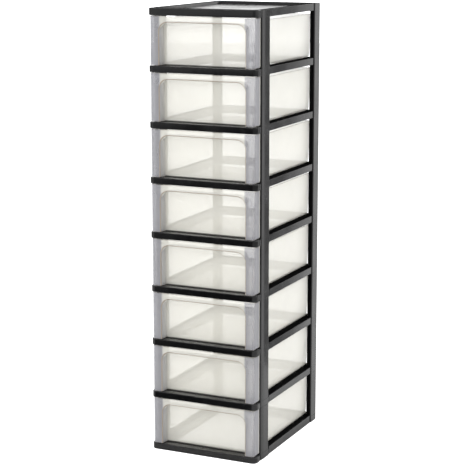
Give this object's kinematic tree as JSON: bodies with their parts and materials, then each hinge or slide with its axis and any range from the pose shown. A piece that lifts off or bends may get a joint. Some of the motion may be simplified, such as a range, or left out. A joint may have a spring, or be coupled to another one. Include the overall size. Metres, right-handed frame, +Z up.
{
  "type": "drawer tower",
  "caption": "Tall free-standing tower of clear pull-out drawers, carried on stacked black ring frames with corner posts.",
  "frame": {"origin": "on the floor, at the middle of the tower's footprint", "axes": "+Z up; the drawers open towards -Y; +X is on the right for someone who faces the drawers' fronts"},
  "size_m": [0.26, 0.355, 0.996],
  "materials": {
    "black_plastic": "glossy to satin injection-moulded plastic",
    "frosted_plastic": "translucent, slightly frosted injection-moulded plastic"
  },
  "bodies": {
    "frame": {"base_frame": "black_plastic", "shelf_frame_1": "black_plastic", "shelf_frame_2": "black_plastic", "shelf_frame_3": "black_plastic", "shelf_frame_4": "black_plastic", "shelf_frame_5": "black_plastic", "shelf_frame_6": "black_plastic", "shelf_frame_7": "black_plastic", "top_frame": "black_plastic", "post_front_left_1": "black_plastic", "post_front_left_2": "black_plastic", "post_front_left_3": "black_plastic", "post_front_left_4": "black_plastic", "post_front_left_5": "black_plastic", "post_front_left_6": "black_plastic", "post_front_left_7": "black_plastic", "post_front_left_8": "black_plastic", "post_front_right_1": "black_plastic", "post_front_right_2": "black_plastic", "post_front_right_3": "black_plastic", "post_front_right_4": "black_plastic", "post_front_right_5": "black_plastic", "post_front_right_6": "black_plastic", "post_front_right_7": "black_plastic", "post_front_right_8": "black_plastic", "post_rear_left_1": "black_plastic", "post_rear_left_2": "black_plastic", "post_rear_left_3": "black_plastic", "post_rear_left_4": "black_plastic", "post_rear_left_5": "black_plastic", "post_rear_left_6": "black_plastic", "post_rear_left_7": "black_plastic", "post_rear_left_8": "black_plastic", "post_rear_right_1": "black_plastic", "post_rear_right_2": "black_plastic", "post_rear_right_3": "black_plastic", "post_rear_right_4": "black_plastic", "post_rear_right_5": "black_plastic", "post_rear_right_6": "black_plastic", "post_rear_right_7": "black_plastic", "post_rear_right_8": "black_plastic"},
    "drawer_1_body": {"drawer_1": "frosted_plastic"},
    "drawer_2_body": {"drawer_2": "frosted_plastic"},
    "drawer_3_body": {"drawer_3": "frosted_plastic"},
    "drawer_4_body": {"drawer_4": "frosted_plastic"},
    "drawer_5_body": {"drawer_5": "frosted_plastic"},
    "drawer_6_body": {"drawer_6": "frosted_plastic"},
    "drawer_7_body": {"drawer_7": "frosted_plastic"},
    "drawer_8_body": {"drawer_8": "frosted_plastic"}
  },
  "joints": [
    {"name": "drawer_1_slide", "type": "slide", "parent": "frame", "child": "drawer_1_body", "axis": [0, -1, 0], "range_m": [0, 0.27]},
    {"name": "drawer_2_slide", "type": "slide", "parent": "frame", "child": "drawer_2_body", "axis": [0, -1, 0], "range_m": [0, 0.27]},
    {"name": "drawer_3_slide", "type": "slide", "parent": "frame", "child": "drawer_3_body", "axis": [0, -1, 0], "range_m": [0, 0.27]},
    {"name": "drawer_4_slide", "type": "slide", "parent": "frame", "child": "drawer_4_body", "axis": [0, -1, 0], "range_m": [0, 0.27]},
    {"name": "drawer_5_slide", "type": "slide", "parent": "frame", "child": "drawer_5_body", "axis": [0, -1, 0], "range_m": [0, 0.27]},
    {"name": "drawer_6_slide", "type": "slide", "parent": "frame", "child": "drawer_6_body", "axis": [0, -1, 0], "range_m": [0, 0.27]},
    {"name": "drawer_7_slide", "type": "slide", "parent": "frame", "child": "drawer_7_body", "axis": [0, -1, 0], "range_m": [0, 0.27]},
    {"name": "drawer_8_slide", "type": "slide", "parent": "frame", "child": "drawer_8_body", "axis": [0, -1, 0], "range_m": [0, 0.27]}
  ]
}
